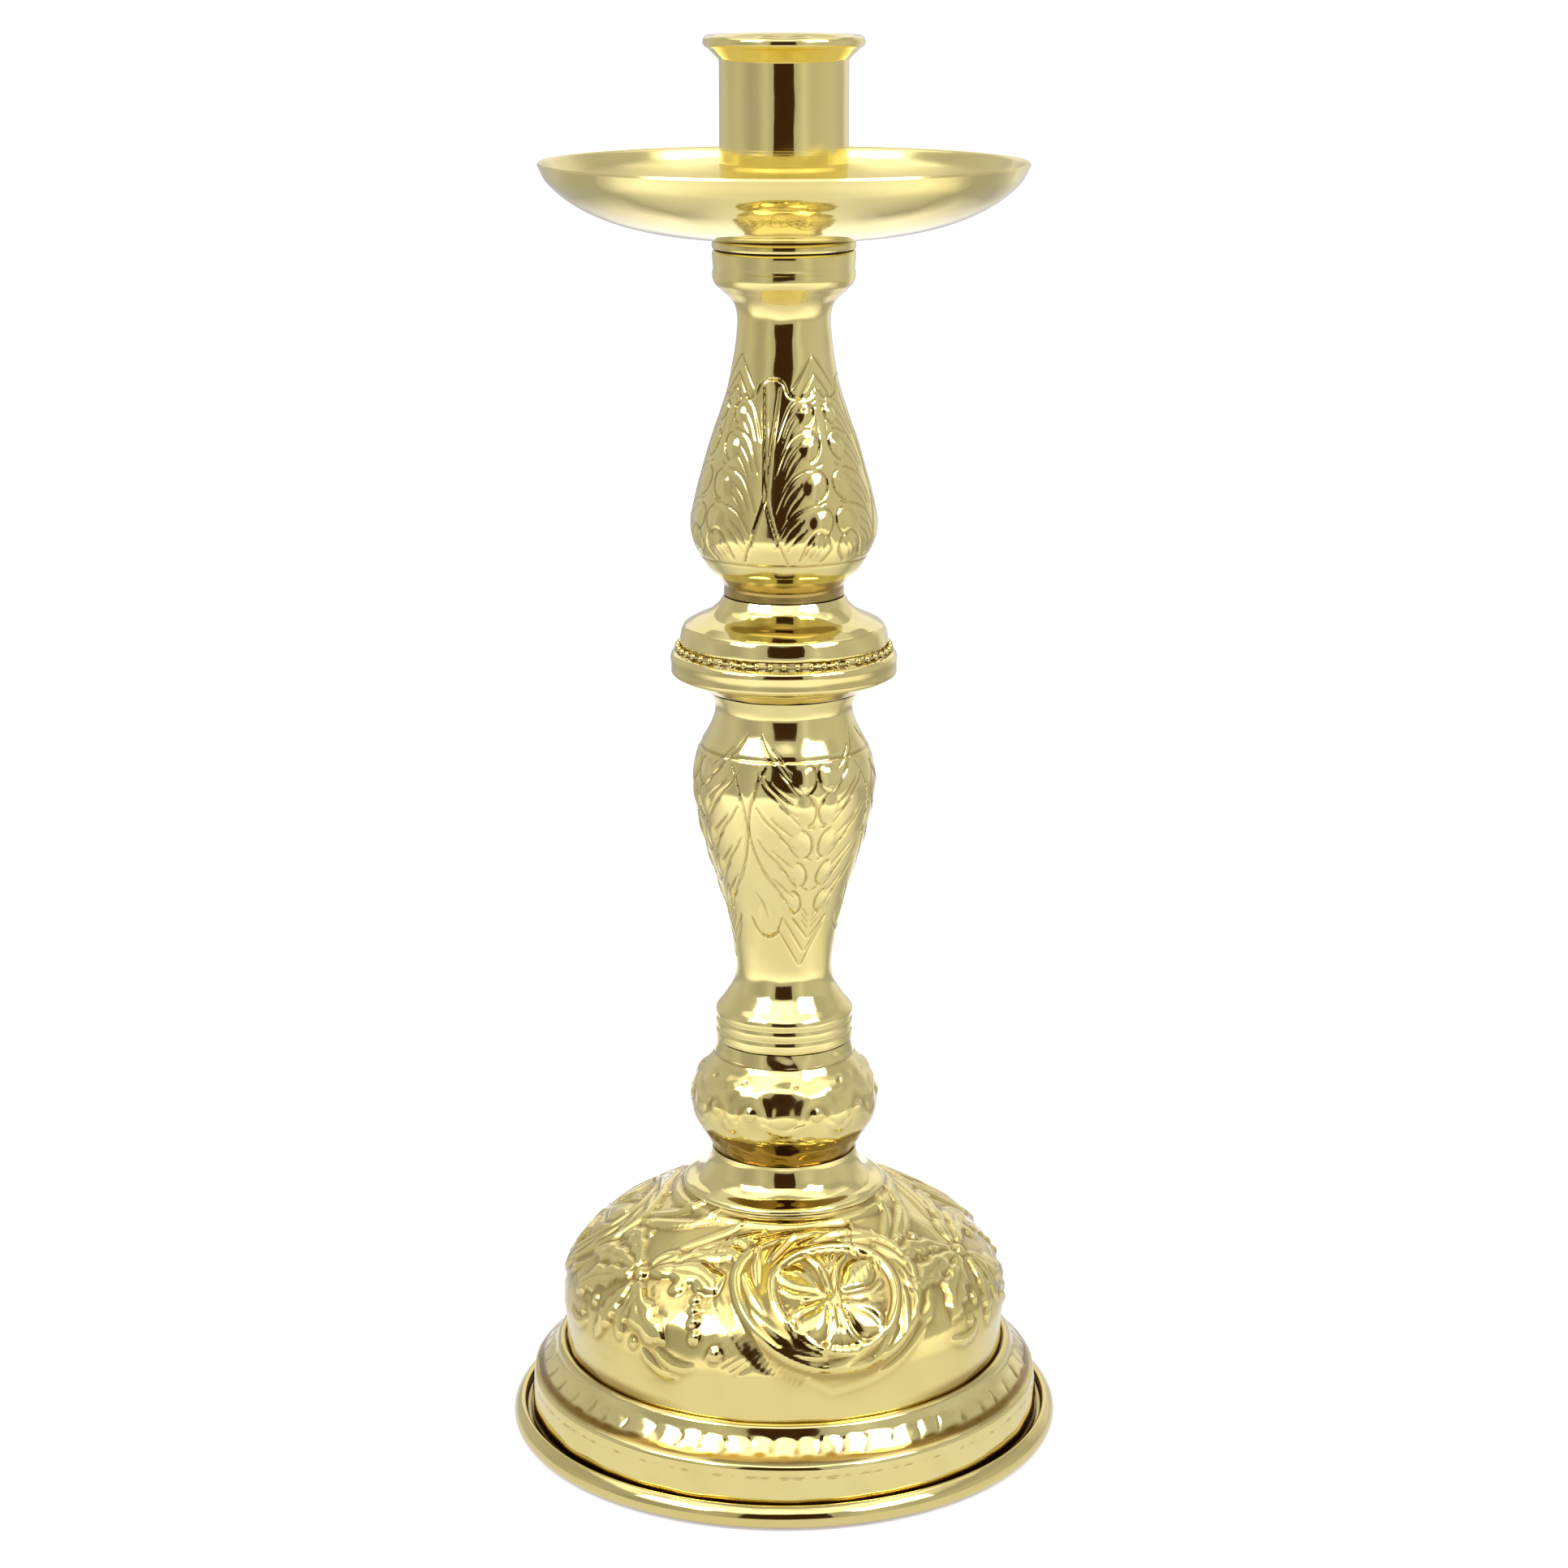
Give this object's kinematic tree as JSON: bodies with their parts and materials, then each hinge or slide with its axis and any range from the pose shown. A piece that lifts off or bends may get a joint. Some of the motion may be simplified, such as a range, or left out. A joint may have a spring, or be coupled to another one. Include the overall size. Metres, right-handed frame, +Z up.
{
  "type": "altar candlestick",
  "caption": "Brass altar candlestick: embossed domed foot, two leaf-chased balusters, beaded disc, round drip pan and a tube socket for one candle.",
  "frame": {"origin": "on the candlestick's axis, at the underside of the felt", "axes": "+Z up along the stem; the front medallion of the foot faces -Y"},
  "size_m": [0.12, 0.12, 0.3],
  "materials": {
    "brass": "mirror-polished and lacquered, embossed and chased areas slightly softer",
    "zinc_steel": "zinc plated",
    "cast_iron": "as cast, painted black",
    "felt": "pressed wool felt"
  },
  "bodies": {
    "stand": {"foot_plate": "brass", "plinth": "brass", "dome": "brass", "neck_collar": "brass", "knop": "brass", "lower_baluster": "brass", "flange": "brass", "bead_ring": "brass", "drum_cap": "brass", "upper_baluster": "brass", "tie_rod": "zinc_steel", "bottom_nut": "zinc_steel", "bottom_washer": "zinc_steel", "stem_nut": "zinc_steel", "stem_washer": "zinc_steel", "neck_disc": "zinc_steel", "knop_disc": "zinc_steel", "flange_disc": "zinc_steel", "waist_disc": "zinc_steel", "base_weight": "cast_iron", "felt_pad": "felt"},
    "drip_pan": {"drip_pan": "brass"},
    "candle_socket": {"candle_socket": "brass", "socket_bush": "brass", "pan_boss": "brass"}
  },
  "joints": [
    {"name": "pan_lift", "type": "slide", "parent": "stand", "child": "drip_pan", "axis": [0, 0, 1], "range_m": [0, 0.01]},
    {"name": "socket_turn", "type": "hinge", "parent": "drip_pan", "child": "candle_socket", "pos_m": [0, 0, 0.2612], "axis": [0, 0, 1], "range_deg": [0, 2880]}
  ],
  "couplings": [
    {"joint": "pan_lift", "follows": "socket_turn", "m_per_rad": 0.00019894}
  ]
}
